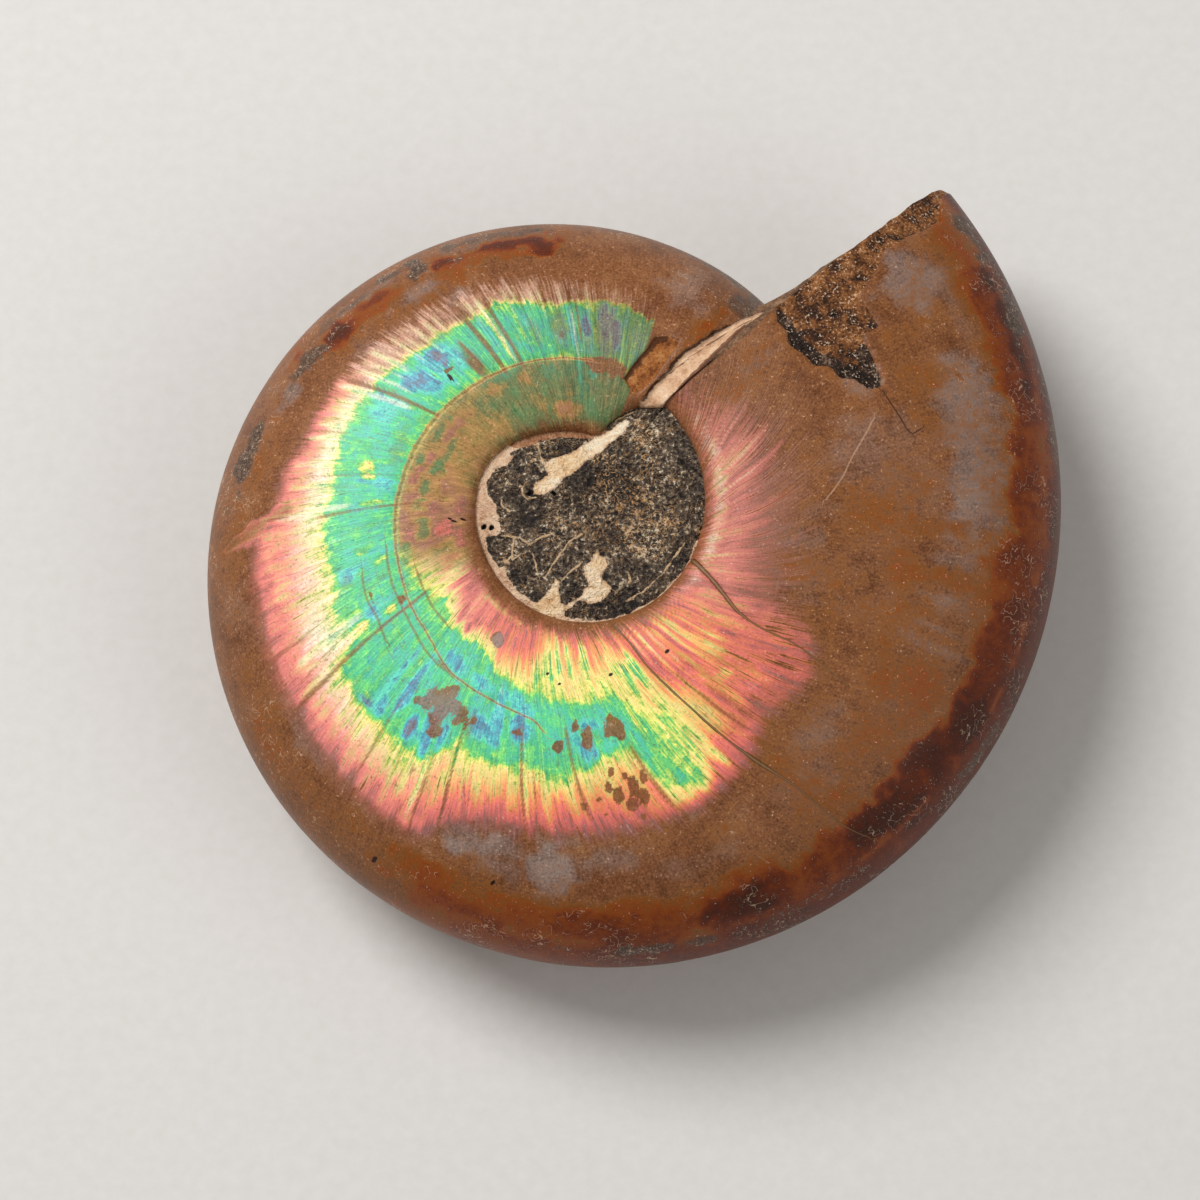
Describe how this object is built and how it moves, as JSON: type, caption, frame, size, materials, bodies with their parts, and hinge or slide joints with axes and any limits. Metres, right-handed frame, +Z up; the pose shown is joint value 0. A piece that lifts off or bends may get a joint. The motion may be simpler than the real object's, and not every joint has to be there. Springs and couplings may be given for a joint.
{
  "type": "iridescent ammonite fossil",
  "caption": "Polished fossil ammonite lying on its side: a coiled pearly shell with a stone-filled navel, a broken mouth and a worn flat to rest on.",
  "frame": {"origin": "on the surface it lies on, below the middle of its box", "axes": "+Z up out of the side that shows, +X across its longest width, +X +Y towards the broken mouth"},
  "size_m": [0.0854, 0.0784, 0.0295],
  "materials": {
    "fossil": "polished, iridescent mother of pearl over brown shell, with rough dark stone in the navel"
  },
  "bodies": {
    "root": {"ammonite": "fossil"}
  },
  "joints": []
}
